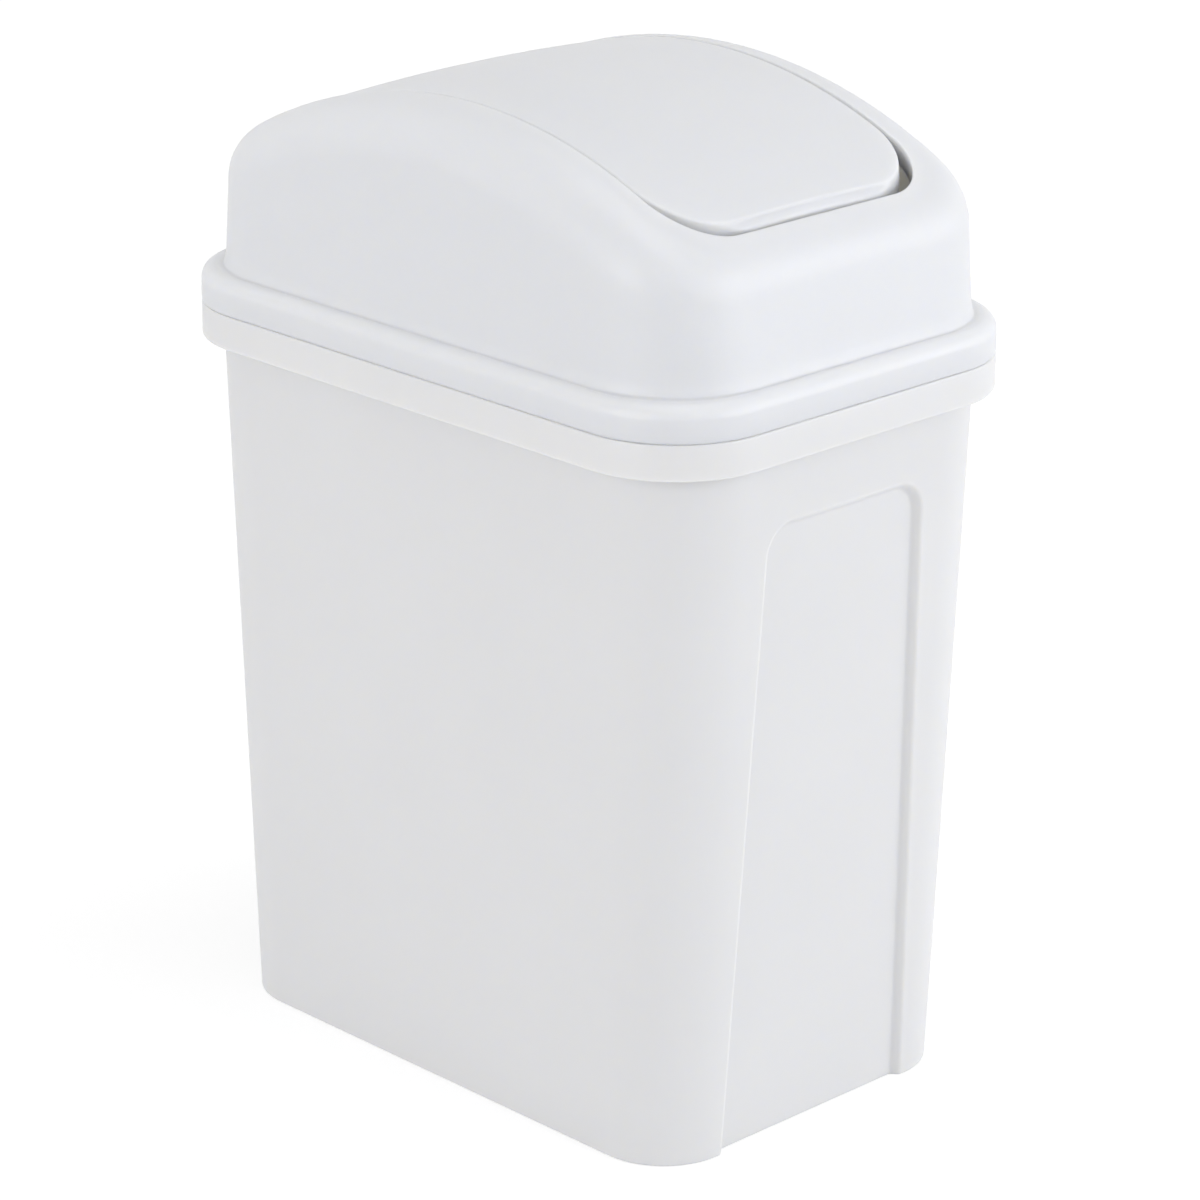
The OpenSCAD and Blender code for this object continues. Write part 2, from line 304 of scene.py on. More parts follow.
# %% The ball's path
BAND_H = 10.1
PIVOT_DROP = 6.1
HOOD_FOOT = RIM + np.array((-2 * 4.85, -2 * 5.1, -0.6))
LEAN_X = 0.036
LEAN_Y = 0.12
ARCH_R = 162
EDGE_R = 15
TOP_R = 26
band_top = BIN_H + BAND_H
crown_z = PIVOT_Z + PIVOT_DROP
arch_z = crown_z - ARCH_R
path_corner = TOP_R - EDGE_R
PATH_ROUNDS = 8


def ball_height(y):
    return arch_z + np.sqrt((ARCH_R - EDGE_R) ** 2 - y**2)


def ball_side(y):
    return HOOD_FOOT[0] / 2 - LEAN_X * (ball_height(y) - band_top) - EDGE_R


ball_end = HOOD_FOOT[1] / 2 - 2 * EDGE_R
for _ in range(PATH_ROUNDS):
    ball_end = HOOD_FOOT[1] / 2 - LEAN_Y * (ball_height(ball_end) - band_top) - EDGE_R
side_run = ball_end - path_corner
corner_run = path_corner * math.pi / 2
path_run = side_run + corner_run + ball_side(ball_end) - path_corner


def ball_path(run):
    """The ball's centre on a quarter of its path, from the middle of a broad side to the middle of an end."""
    turn = np.clip((run - side_run) / path_corner, 0, math.pi / 2)
    y = np.minimum(run, side_run) + path_corner * np.sin(turn)
    x = ball_side(y) - path_corner * (1 - np.cos(turn)) - np.maximum(run - side_run - corner_run, 0)
    return x, y, ball_height(y)


print(f"ball path: {ball_side(0):.2f} mm out at the middle, {ball_end:.2f} mm along to the ends")

# %% The height of the dome over a point
PATH_SAMPLES = 181
SEARCH_ROUNDS = 24


def ball_top(x, y, run, ball):
    """Height of the ball at a place of its path over a point in plan, falling off outside its reach."""
    ball_x, ball_y, ball_z = ball_path(run)
    left = ball**2 - (x - ball_x) ** 2 - (y - ball_y) ** 2
    return ball_z + np.sqrt(np.maximum(left, 0)) + np.minimum(left, 0)


def dome_height(plan, ball):
    """Height of the dome over points in plan. A smaller ball gives the skin inside."""
    x, y = np.abs(plan[:, 0]), np.abs(plan[:, 1])
    skin_r = ARCH_R - EDGE_R + ball
    centre_y = y * (ARCH_R - EDGE_R) / skin_r
    in_corner = np.clip(centre_y - side_run, 0, path_corner)
    limit = ball_side(centre_y) - path_corner + np.sqrt(path_corner**2 - in_corner**2)
    under_arch = (centre_y <= ball_end) & (x <= limit)
    samples = np.linspace(0, path_run, PATH_SAMPLES)
    nearest = np.argmax(ball_top(x[:, None], y[:, None], samples[None, :], ball), axis=1)
    low = samples[np.maximum(nearest - 1, 0)]
    high = samples[np.minimum(nearest + 1, PATH_SAMPLES - 1)]
    for _ in range(SEARCH_ROUNDS):
        third = (high - low) / 3
        rising = ball_top(x, y, low + third, ball) < ball_top(x, y, high - third, ball)
        low = np.where(rising, low + third, low)
        high = np.where(rising, high, high - third)
    return np.where(under_arch, arch_z + np.sqrt(skin_r**2 - y**2), ball_top(x, y, (low + high) / 2, ball))


# %% [markdown]
# ## The hood's walls meet the ball
# A wall is a straight line in section, from the hood's foot to where it just touches the ball. From there
# levels run over the rounding to the opening. Their spacing follows a cosine, because the surface starts
# upright.

# %% Levels of the dome
HOOD_LONG_STEPS = 96
HOOD_SHORT_STEPS = 40
WALL_STEPS = 6
DOME_STEPS = 26
TINY = 1e-9
hood_grid = columns(even_shares(HOOD_LONG_STEPS), even_shares(HOOD_SHORT_STEPS))


def column_centres(grid):
    """The ball's centre for each column of the hood."""
    places, directions = grid
    along = np.minimum(np.abs(places[:, 1]), 1)
    turn = np.arctan2(np.abs(directions[:, 1]), np.abs(directions[:, 0]))
    end_share = np.abs(places[:, 0])
    run = np.where(
        np.abs(directions[:, 1]) < TINY,
        along * side_run,
        np.where(
            np.abs(directions[:, 0]) < TINY,
            side_run + corner_run + (1 - end_share) * (path_run - side_run - corner_run),
            side_run + turn * path_corner,
        ),
    )
    x, y, z = ball_path(run)
    signs = np.sign(places + TINY)
    return np.column_stack((x * signs[:, 0], y * signs[:, 1], z))


def wall_touch(foot, ball):
    """Where the line from each foot point just touches the ball of its column."""
    centres = column_centres(hood_grid)
    outwards = hood_grid[1]
    reach = np.sum((foot[:, :2] - centres[:, :2]) * outwards, axis=1)
    rise = foot[:, 2] - centres[:, 2]
    angle = np.arctan2(rise, reach) + np.arccos(ball / np.hypot(reach, rise))
    plan = centres[:, :2] + outwards * (ball * np.cos(angle))[:, None]
    return np.column_stack((plan, centres[:, 2] + ball * np.sin(angle)))


def dome_levels(foot, ball, top_plan):
    """The wall from the foot up, then the rounding and the arch to the plan outline of the opening's edge."""
    touch = wall_touch(foot, ball)
    walls = [foot + (touch - foot) * share for share in np.linspace(0, 1, WALL_STEPS + 1)]
    levels = []
    for angle in np.linspace(0, math.pi / 2, DOME_STEPS + 1)[1:]:
        plan = touch[:, :2] + (top_plan - touch[:, :2]) * (1 - math.cos(angle))
        levels.append(np.column_stack((plan, dome_height(plan, ball))))
    return walls + levels


# %% [markdown]
# ## The hood in one skin
# The hood's section starts at the plug wall that hangs inside the mouth. It goes up the plug, out under the
# band, round the band with its heavy shoulder and the soft flare at the dome's foot, over the dome to the
# opening, down and back up the turned-down edge, and home along the inside. The last level meets the first
# one, so the skin is closed like a tyre. The seam with the rim is a real gap of a few hundredths of a
# millimetre.

# %% The hood
PLUG_WALL = 1.4
PLUG_GAP = 0.6
BAND_ROUND = 4
FOOT_FLARE = 0.75
FOOT_FLARE_H = 4.5
FOOT_FLARE_POWER = 2.2
FLARE_LEVELS = 9
SEAM_ROUND = 0.6
SEAM_GAP = 0.06
SMALL_ROUND = 0.4
OPENING = np.array((93, 164.6, 17.5))
OPENING_ROUND = 0.45
OPENING_ROUND_STEPS = 5
EDGE_WALL = 1.4
EDGE_DROP = 4
plug = MOUTH - 2 * (WALL + PLUG_GAP) * np.array((1, 1, 0.5))
plug_foot = hood_low.z
under_band = band_top - WALL
band_foot = BIN_H + SEAM_GAP
inner_ball = EDGE_R - WALL


def hood_arc(outline, grow, z, radius, start, end, steps=4):
    return arc(outline, grow, z, radius, start, end, steps, hood_grid)


def hood_level(outline, grow, z):
    return level(outline, grow, z, hood_grid)


def foot_flare():
    """Levels of the soft flare at the dome's foot. It stands out at the band and dies away into the wall."""
    foot = hood_level(HOOD_FOOT, 0, band_top)
    wall = wall_touch(foot, EDGE_R) - foot
    levels = []
    for share in np.linspace(0, 1, FLARE_LEVELS):
        points = foot + wall / wall[:, 2:] * FOOT_FLARE_H * share
        points[:, :2] += hood_grid[1] * FOOT_FLARE * (1 - share) ** FOOT_FLARE_POWER
        levels.append(points)
    return levels


def opening_foot(grow, lift):
    """A level near the foot of the turned-down edge."""
    points = hood_level(OPENING, grow, 0)
    points[:, 2] = arch_z + np.sqrt((ARCH_R - WALL - EDGE_DROP + lift) ** 2 - points[:, 1] ** 2)
    return points


def opening_top(grow, drop):
    """A level round the opening, at the dome's own height."""
    points = hood_level(OPENING, grow, 0)
    points[:, 2] = dome_height(points[:, :2], EDGE_R) - drop
    return points


plug_levels = hood_arc(plug, -PLUG_WALL / 2, plug_foot + PLUG_WALL / 2, PLUG_WALL / 2, 180, 360, 8)
plug_levels += hood_arc(plug, SMALL_ROUND, under_band - SMALL_ROUND, SMALL_ROUND, 180, 90)
band_levels = hood_arc(RIM, -BAND_ROUND, band_top - BAND_ROUND, BAND_ROUND - WALL, 90, 0, 6)
band_levels += hood_arc(RIM, -WALL + SMALL_ROUND, band_foot + SMALL_ROUND, SMALL_ROUND, 180, 270)
band_levels += hood_arc(RIM, -SEAM_ROUND, band_foot + SEAM_ROUND, SEAM_ROUND, 270, 360, 5)
band_levels += hood_arc(RIM, -BAND_ROUND, band_top - BAND_ROUND, BAND_ROUND, 0, 90, 14)
edge_plan = hood_level(OPENING, OPENING_ROUND, 0)[:, :2]
flare = foot_flare()
dome = flare[:-1] + dome_levels(flare[-1], EDGE_R, edge_plan)
edge = []
for a in np.radians(np.linspace(0, 90, OPENING_ROUND_STEPS + 1))[1:]:
    edge.append(opening_top(OPENING_ROUND * (1 - math.sin(a)), OPENING_ROUND * (1 - math.cos(a))))
edge += [opening_foot(0, SMALL_ROUND), opening_foot(SMALL_ROUND, 0)]
edge += [opening_foot(EDGE_WALL - SMALL_ROUND, 0), opening_foot(EDGE_WALL, SMALL_ROUND)]
inner_plan = hood_level(OPENING, EDGE_WALL + SMALL_ROUND, 0)[:, :2]
inner_foot = hood_level(HOOD_FOOT, -WALL, band_top + SMALL_ROUND)
inner_dome = dome_levels(inner_foot, inner_ball, inner_plan)[::-1]
joint_level = hood_level(OPENING, EDGE_WALL, 0)
joint_level[:, 2] = inner_dome[0][:, 2] - SMALL_ROUND
ledge = [hood_level(HOOD_FOOT, -WALL - SMALL_ROUND, band_top)]
ledge += hood_arc(plug, -PLUG_WALL, band_top - SMALL_ROUND, SMALL_ROUND, 90, 180)
hood_levels = plug_levels + band_levels + dome + edge + [joint_level] + inner_dome + ledge
lid_dome = add_piece("lid_dome", skin("lid_dome", [hood_levels], closed=True))

# %% [markdown]
# ## A node tree for what follows a rule
# The rim and the flap are each one section carried round a rounded rectangle. The two ends of that section
# follow different outlines: the rim stands out further on the broad sides, and the flap's top closes on a
# short spine. Geometry Nodes suit that well. The tree makes both outlines, lays a grid over them, and sets
# each point by its column on the outlines and its row in the section. A plain Curve to Mesh would keep one
# width all round. The section is a row of points in an object: x is the distance outwards, y is the share
# of the way from the inner outline to the outer one, and z is the height.

# %% A section swept between two outlines
INPUT_KINDS = {"Section": "Object", "Material": "Material"}
INPUT_KINDS |= {"Corner steps": "Int", "Long cuts": "Int", "Short cuts": "Int"}
OUTLINE_INPUTS = [f"{which} {size}" for which in ("Inner", "Outer") for size in ("width", "depth", "radius")]
SWEEP_INPUTS = ["Section", "Material", "Corner steps", "Long cuts", "Short cuts", *OUTLINE_INPUTS]


def new_tree(name, labels):
    """An empty geometry node tree with named inputs and one geometry output."""
    tree = bpy.data.node_groups.new(name, "GeometryNodeTree")
    for label in labels:
        kind = INPUT_KINDS.get(label, "Float")
        tree.interface.new_socket(label, in_out="INPUT", socket_type=f"NodeSocket{kind}")
    tree.interface.new_socket("Geometry", in_out="OUTPUT", socket_type="NodeSocketGeometry")
    return tree


def add(tree, kind, inputs=(), **settings):
    """One node. Each input is given by its name or place: another node's socket is linked, a value is set."""
    node = tree.nodes.new(kind)
    for name, value in settings.items():
        setattr(node, name, value)
    for place, value in dict(inputs).items():
        if isinstance(value, bpy.types.NodeSocket):
            tree.links.new(value, node.inputs[place])
        else:
            node.inputs[place].default_value = value
    return node


MERGE_MM = 0.025  # wider than the flap's spine, so that the merge closes it
sweep = new_tree("section between outlines", SWEEP_INPUTS)
given = add(sweep, "NodeGroupInput").outputs
index = add(sweep, "GeometryNodeInputIndex").outputs[0]
one_more = {0: given["Corner steps"], 1: 1}
corner_points = add(sweep, "FunctionNodeIntegerMath", one_more, operation="ADD").outputs[0]
counted = {0: index, 1: corner_points}
in_corner = add(sweep, "FunctionNodeIntegerMath", counted, operation="MODULO").outputs[0]
quarter = add(sweep, "FunctionNodeIntegerMath", counted, operation="DIVIDE_FLOOR").outputs[0]
is_long = add(sweep, "FunctionNodeIntegerMath", {0: quarter, 1: 2}, operation="MODULO").outputs[0]
compared = {2: in_corner, 3: given["Corner steps"]}
is_side = add(sweep, "FunctionNodeCompare", compared, data_type="INT", operation="EQUAL")
side_cuts = {"Switch": is_long, "False": given["Short cuts"], "True": given["Long cuts"]}
side_cuts = add(sweep, "GeometryNodeSwitch", side_cuts, input_type="INT").outputs[0]
cuts = {"Switch": is_side.outputs[0], "False": 0, "True": side_cuts}
cuts = add(sweep, "GeometryNodeSwitch", cuts, input_type="INT").outputs[0]
outlines = []
for which in ("Inner", "Outer"):
    sides = {"Width": given[f"{which} width"], "Height": given[f"{which} depth"]}
    rectangle = add(sweep, "GeometryNodeCurvePrimitiveQuadrilateral", sides).outputs[0]
    rounding = {"Curve": rectangle, "Count": given["Corner steps"], "Radius": given[f"{which} radius"]}
    rounded = add(sweep, "GeometryNodeFilletCurve", rounding, mode="POLY").outputs[0]
    outlines.append(add(sweep, "GeometryNodeSubdivideCurve", {"Curve": rounded, "Cuts": cuts}).outputs[0])

section = add(sweep, "GeometryNodeObjectInfo", {"Object": given["Section"]}).outputs["Geometry"]
rows = add(sweep, "GeometryNodeAttributeDomainSize", {0: section}).outputs["Point Count"]
round_size = add(sweep, "GeometryNodeAttributeDomainSize", {0: outlines[1]}, component="CURVE")
round_count = round_size.outputs["Point Count"]
grid_count = add(sweep, "FunctionNodeIntegerMath", {0: round_count, 1: 1}, operation="ADD").outputs[0]
sheet = add(sweep, "GeometryNodeMeshGrid", {"Vertices X": grid_count, "Vertices Y": rows}).outputs["Mesh"]
row = add(sweep, "FunctionNodeIntegerMath", {0: index, 1: rows}, operation="MODULO").outputs[0]
column = add(sweep, "FunctionNodeIntegerMath", {0: index, 1: rows}, operation="DIVIDE_FLOOR").outputs[0]
column = add(sweep, "FunctionNodeIntegerMath", {0: column, 1: round_count}, operation="MODULO").outputs[0]

position = add(sweep, "GeometryNodeInputPosition").outputs[0]
tangent = add(sweep, "GeometryNodeInputTangent").outputs[0]
turned = {0: tangent, 1: (0, 0, 1)}
outwards = add(sweep, "ShaderNodeVectorMath", turned, operation="CROSS_PRODUCT").outputs[0]
samples = []
for source, value, place in (
    (outlines[0], position, column),
    (outlines[1], position, column),
    (outlines[1], outwards, column),
    (section, position, row),
):
    wanted = {"Geometry": source, "Value": value, "Index": place}
    samples.append(add(sweep, "GeometryNodeSampleIndex", wanted, data_type="FLOAT_VECTOR").outputs[0])
distance, share, height = add(sweep, "ShaderNodeSeparateXYZ", {0: samples[3]}).outputs
between = add(sweep, "ShaderNodeMix", {0: share, 4: samples[0], 5: samples[1]}, data_type="VECTOR").outputs[1]
scaled = {0: samples[2], "Scale": distance}
stand_out = add(sweep, "ShaderNodeVectorMath", scaled, operation="SCALE").outputs[0]
plan = add(sweep, "ShaderNodeVectorMath", {0: between, 1: stand_out}, operation="ADD").outputs[0]
up = add(sweep, "ShaderNodeCombineXYZ", {"Z": height}).outputs[0]
place = add(sweep, "ShaderNodeVectorMath", {0: plan, 1: up}, operation="ADD").outputs[0]
placed = add(sweep, "GeometryNodeSetPosition", {"Geometry": sheet, "Position": place}).outputs[0]
merged = add(sweep, "GeometryNodeMergeByDistance", {"Geometry": placed, "Distance": MERGE_MM * MM}).outputs[0]
realized = add(sweep, "GeometryNodeRealizeInstances", {0: merged}).outputs[0]
finish = {"Geometry": realized, "Material": given["Material"]}
finished = add(sweep, "GeometryNodeSetMaterial", finish).outputs[0]
add(sweep, "NodeGroupOutput", {0: finished})
print(f"section tree: {len(sweep.nodes)} nodes")

# %% From a tree to a plain mesh
finishes = {
    "body_plastic": bpy.data.materials.new("satin moulded polypropylene, bin"),
    "lid_plastic": bpy.data.materials.new("satin moulded polypropylene, hood"),
    "flap_plastic": bpy.data.materials.new("satin moulded polypropylene, flap"),
}


def section_object(name, points):
    """A section's points, kept in an object for the tree to read."""
    mesh = bpy.data.meshes.new(name)
    mesh.from_pydata([(distance * MM, share, height * MM) for distance, share, height in points], [], [])
    obj = bpy.data.objects.new(name, mesh)
    bpy.context.scene.collection.objects.link(obj)
    return obj


def outline_values(inner, outer):
    """The outline inputs of the tree, in metres, from two outlines in millimetres."""
    return dict(zip(OUTLINE_INPUTS, (float(size) * MM for size in (*inner, *outer))))


def bake(name, tree, values):
    """Runs a tree with its inputs set and keeps the result as a plain closed mesh, without the modifier."""
    obj = bpy.data.objects.new(name, bpy.data.meshes.new(name))
    bpy.context.scene.collection.objects.link(obj)
    modifier = obj.modifiers.new(tree.name, "NODES")
    modifier.node_group = tree
    for item in tree.interface.items_tree:
        if item.in_out == "INPUT":
            modifier[item.identifier] = values[item.name]
    mesh = bpy.data.meshes.new_from_object(obj.evaluated_get(bpy.context.evaluated_depsgraph_get()))
    bpy.data.objects.remove(obj)
    bpy.data.objects.remove(values["Section"])
    return add_piece(name, weld(mesh))


def turn(centre, radius, start, end, steps):
    """Points of a rounding in a section, from one angle to another. 0 is outwards and 90 is up."""
    angles = np.radians(np.linspace(start, end, steps + 1))
    return [(centre[0] + radius * math.cos(a), centre[1] + radius * math.sin(a)) for a in angles]


# %% [markdown]
# ## The bin's rim
# The rim of such a bin is turned out flat and then down into a skirt, which makes the thin mouth stiff and
# hides the edge. The hood's band sits on its flat top. The rim is the same moulding as the bin, so its
# inner face lies on the bin's inner wall, a tenth of a millimetre proud, and closes over the top of the
# bin's shell.

# %% The rim
RIM_H = 9.8
RIM_WALL = 1.5
RIM_MOUTH_ROUND = 0.5
RIM_PROUD = 0.1
RIM_DEEP = 3.2
RIM_FILLET = 0.8
mouth_inside = MOUTH - 2 * WALL * np.array((1, 1, 0.5))
under_rim = BIN_H - RIM_WALL
skirt_middle = BIN_H - RIM_H + RIM_WALL / 2
at_mouth = [(-RIM_PROUD, BIN_H - RIM_DEEP)]
at_mouth += turn((RIM_MOUTH_ROUND - RIM_PROUD, BIN_H - RIM_MOUTH_ROUND), RIM_MOUTH_ROUND, 180, 90, 5)
at_rim = turn((-SEAM_ROUND, BIN_H - SEAM_ROUND), SEAM_ROUND, 90, 0, 5)
at_rim += turn((-RIM_WALL / 2, skirt_middle), RIM_WALL / 2, 0, -180, 10)
at_rim += turn((-RIM_WALL - RIM_FILLET, under_rim - RIM_FILLET), RIM_FILLET, 0, 90, 4)
in_wall = [(WALL / 2, under_rim), (WALL / 2, BIN_H - RIM_DEEP), at_mouth[0]]
rim_section = [(d, share, z) for share, part in ((0, at_mouth), (1, at_rim), (0, in_wall)) for d, z in part]
rim_values = outline_values(mouth_inside, RIM)
rim_values |= {"Section": section_object("rim section", rim_section), "Material": finishes["body_plastic"]}
rim_values |= {"Corner steps": CORNER_STEPS, "Long cuts": 12, "Short cuts": 8}
bin_rim = bake("bin_rim", sweep, rim_values)

# %% [markdown]
# ## The flap
# The flap is a thin shell, arched along the bin with nearly the hood's radius and cambered a little across,
# so that wet waste and crumbs slide off. Its edge is turned down all round, and deeper at both ends, which
# gives the hand something to push. In the middle of each end the lip also leans out towards the opening's
# edge, and stays clear of it as it swings. The tree above lays the section flat. A second tree bends it
# onto the arch and the camber, draws the skirt down at the ends and leans it out. On a subdivided cage
# these heights would only be near the right ones.

# %% Bending the section onto an arch
PLATE_INPUTS = ["Arch radius", "Arch height", "Camber radius", "Wall", "Skirt"]
PLATE_INPUTS += ["Lip", "Lip starts", "Lip is full"]
PLATE_INPUTS += ["Lean", "Lean starts", "Lean is full", "Lean fades", "Lean is gone"]
plate = new_tree("arched and cambered plate", SWEEP_INPUTS + PLATE_INPUTS)
given = add(plate, "NodeGroupInput").outputs
flat = add(plate, "GeometryNodeGroup", node_tree=sweep)
for label in SWEEP_INPUTS:
    plate.links.new(given[label], flat.inputs[label])
position = add(plate, "GeometryNodeInputPosition").outputs[0]
x, flat_y, z = add(plate, "ShaderNodeSeparateXYZ", {0: position}).outputs
down = add(plate, "ShaderNodeMath", {0: z, 1: -1}, operation="MULTIPLY").outputs[0]
along = add(plate, "ShaderNodeMath", {0: flat_y}, operation="ABSOLUTE").outputs[0]
across = add(plate, "ShaderNodeMath", {0: x}, operation="ABSOLUTE").outputs[0]
steps = []
for value, start, end in (
    (along, "Lip starts", "Lip is full"),
    (down, "Lean starts", "Lean is full"),
    (down, "Lean is full", "Skirt"),
    (across, "Lean is gone", "Lean fades"),
):
    wanted = {0: value, 1: given[start], 2: given[end]}
    steps.append(add(plate, "ShaderNodeMapRange", wanted, interpolation_type="SMOOTHSTEP").outputs[0])
at_end, out, back, in_middle = steps
lean = add(plate, "ShaderNodeMath", {0: out, 1: back}, operation="SUBTRACT").outputs[0]
side = add(plate, "ShaderNodeMath", {0: flat_y}, operation="SIGN").outputs[0]
for factor in (at_end, in_middle, side, given["Lean"]):
    lean = add(plate, "ShaderNodeMath", {0: lean, 1: factor}, operation="MULTIPLY").outputs[0]
y = add(plate, "ShaderNodeMath", {0: flat_y, 1: lean}, operation="ADD").outputs[0]
in_skirt = add(plate, "ShaderNodeMapRange", {0: down, 1: given["Wall"], 2: given["Skirt"]}).outputs[0]
drawn = add(plate, "ShaderNodeMath", {0: at_end, 1: in_skirt}, operation="MULTIPLY").outputs[0]
deeper = {0: drawn, 1: given["Lip"], 2: down}
depth = add(plate, "ShaderNodeMath", deeper, operation="MULTIPLY_ADD").outputs[0]
camber_2 = add(plate, "ShaderNodeMath", {0: given["Camber radius"], 1: 2}, operation="POWER").outputs[0]
x_2 = add(plate, "ShaderNodeMath", {0: x, 1: x}, operation="MULTIPLY").outputs[0]
fall_2 = add(plate, "ShaderNodeMath", {0: camber_2, 1: x_2}, operation="SUBTRACT").outputs[0]
fall = add(plate, "ShaderNodeMath", {0: fall_2, 1: 0.5}, operation="POWER").outputs[0]
camber = add(plate, "ShaderNodeMath", {0: fall, 1: given["Camber radius"]}, operation="SUBTRACT").outputs[0]
arch = add(plate, "ShaderNodeMath", {0: given["Arch radius"], 1: camber}, operation="ADD").outputs[0]
reach = add(plate, "ShaderNodeMath", {0: arch, 1: depth}, operation="SUBTRACT").outputs[0]
reach_2 = add(plate, "ShaderNodeMath", {0: reach, 1: 2}, operation="POWER").outputs[0]
y_2 = add(plate, "ShaderNodeMath", {0: y, 1: y}, operation="MULTIPLY").outputs[0]
height_2 = add(plate, "ShaderNodeMath", {0: reach_2, 1: y_2}, operation="SUBTRACT").outputs[0]
height = add(plate, "ShaderNodeMath", {0: height_2, 1: 0.5}, operation="POWER").outputs[0]
height = add(plate, "ShaderNodeMath", {0: height, 1: given["Arch height"]}, operation="ADD").outputs[0]
place = add(plate, "ShaderNodeCombineXYZ", {"X": x, "Y": y, "Z": height}).outputs[0]
bent = add(plate, "GeometryNodeSetPosition", {"Geometry": flat.outputs[0], "Position": place}).outputs[0]
realized = add(plate, "GeometryNodeRealizeInstances", {0: bent}).outputs[0]
finish = {"Geometry": realized, "Material": given["Material"]}
finished = add(plate, "GeometryNodeSetMaterial", finish).outputs[0]
add(plate, "NodeGroupOutput", {0: finished})
print(f"plate tree: {len(plate.nodes)} nodes")

# %% The flap
FLAP = np.array((91.4, 158.4, 19.5))
FLAP_ARCH_R = 160
FLAP_CAMBER = 1.5
FLAP_WALL = 1.6
FLAP_EDGE_ROUND = 0.6
SIDE_BULGE = 0.3
FACE_STEPS = 10
SKIRT_WALL = 1.4
SKIRT_DEPTH = 5
SKIRT_FILLET = 0.8
LIP_EXTRA = 4.6
LIP_STARTS = 60.5
LIP_FULL = 66.5
LIP_LEAN = 1.6
LEAN_DEPTHS = (0.3, 1.2)
LEAN_HALF_WIDTHS = (22, 33)
SPINE_W = 0.02
SPINE_R = SPINE_W / 2.1  # just under half, because a corner radius has to stay below it
TOP_SHARES = np.linspace(0, 0.8, 9)
STRIPS = (-7, -4.5)
camber_r = ((FLAP[0] / 2) ** 2 + FLAP_CAMBER**2) / (2 * FLAP_CAMBER)
skirt_foot = SKIRT_DEPTH - SKIRT_WALL / 2
spine = np.array((SPINE_W, FLAP[1] - FLAP[0], SPINE_R))
face_depths = np.linspace(FLAP_EDGE_ROUND, skirt_foot, FACE_STEPS + 1)[1:-1]
face_bulges = SIDE_BULGE * np.sin(math.pi * np.arange(1, FACE_STEPS) / FACE_STEPS) ** 2
inside_depths = np.linspace(skirt_foot, FLAP_WALL + SKIRT_FILLET, FACE_STEPS + 1)[1:-1]
edge_points = [(strip, 0) for strip in STRIPS]
edge_points += turn((-FLAP_EDGE_ROUND, -FLAP_EDGE_ROUND), FLAP_EDGE_ROUND, 90, 0, 6)
edge_points += [(bulge, -depth) for bulge, depth in zip(face_bulges, face_depths)]
edge_points += turn((-SKIRT_WALL / 2, -skirt_foot), SKIRT_WALL / 2, 0, -180, 8)
edge_points += [(-SKIRT_WALL, -depth) for depth in inside_depths]
edge_points += turn((-SKIRT_WALL - SKIRT_FILLET, -FLAP_WALL - SKIRT_FILLET), SKIRT_FILLET, 0, 90, 4)
edge_points += [(strip, -FLAP_WALL) for strip in STRIPS[::-1]]
flap_section = [(0, share, 0) for share in TOP_SHARES] + [(d, 1, z) for d, z in edge_points]
flap_section += [(0, share, -FLAP_WALL) for share in TOP_SHARES[::-1]]
flap_values = outline_values(spine, FLAP)
flap_values |= {"Section": section_object("flap section", flap_section), "Material": finishes["flap_plastic"]}
flap_values |= {"Corner steps": 24, "Long cuts": 60, "Short cuts": 28}
plate_sizes = (FLAP_ARCH_R, flap_high.z - FLAP_ARCH_R, camber_r, FLAP_WALL, skirt_foot)
plate_sizes += (LIP_EXTRA, LIP_STARTS, LIP_FULL, LIP_LEAN, *LEAN_DEPTHS, *LEAN_HALF_WIDTHS)
flap_values |= dict(zip(PLATE_INPUTS, (float(size) * MM for size in plate_sizes)))
flap_panel = bake("flap_panel", plate, flap_values)

# %% [markdown]
# ## Pins and lugs
# Each pin is moulded on the flap's side with a wider shoulder, which keeps the flap in the middle of the
# opening. It turns in a bore in a lug under the hood. Both are hidden when the flap is shut and show when
# it swings. They are turned and rounded shapes, so rings of points about the pivot's axis make them
# exactly.

# %% Pins
PIN_R = 2.5
PIN_ROUND = 0.4
SHOULDER_R = 4.2
SHOULDER_ROUND = 0.3
SIDE_PLAY = 0.4
RING_STEPS = 64
pin_root = FLAP[0] / 2 - SKIRT_WALL / 2
shoulder_end = OPENING[0] / 2 - SIDE_PLAY
pin_end = flap_high.x
ring_angles = np.linspace(0, 2 * math.pi, RING_STEPS, endpoint=False)


def ring(x, radius):
    """A ring of points about the pivot's axis."""
    ones = np.ones(RING_STEPS)
    return np.column_stack((x * ones, radius * np.cos(ring_angles), PIVOT_Z + radius * np.sin(ring_angles)))


def mirrored(levels):
    """The same levels on the other side of the bin."""
    return [points * (-1, 1, 1) for points in levels]


pin_rings = [ring(pin_root, 0), ring(pin_root, SHOULDER_R)]
pin_rings += [ring(shoulder_end - SHOULDER_ROUND, SHOULDER_R)]
pin_rings += [ring(shoulder_end, SHOULDER_R - SHOULDER_ROUND)]
pin_rings += [ring(shoulder_end, PIN_R + PIN_ROUND), ring(shoulder_end + PIN_ROUND / 2, PIN_R)]
pin_rings += [ring(x, r) for x, r in turn((pin_end - PIN_ROUND, PIN_R - PIN_ROUND), PIN_ROUND, 90, 0, 4)]
pin_rings += [ring(pin_end, 0)]
flap_pins = add_piece("flap_pins", skin("flap_pins", [pin_rings, mirrored(pin_rings)], closed=False))

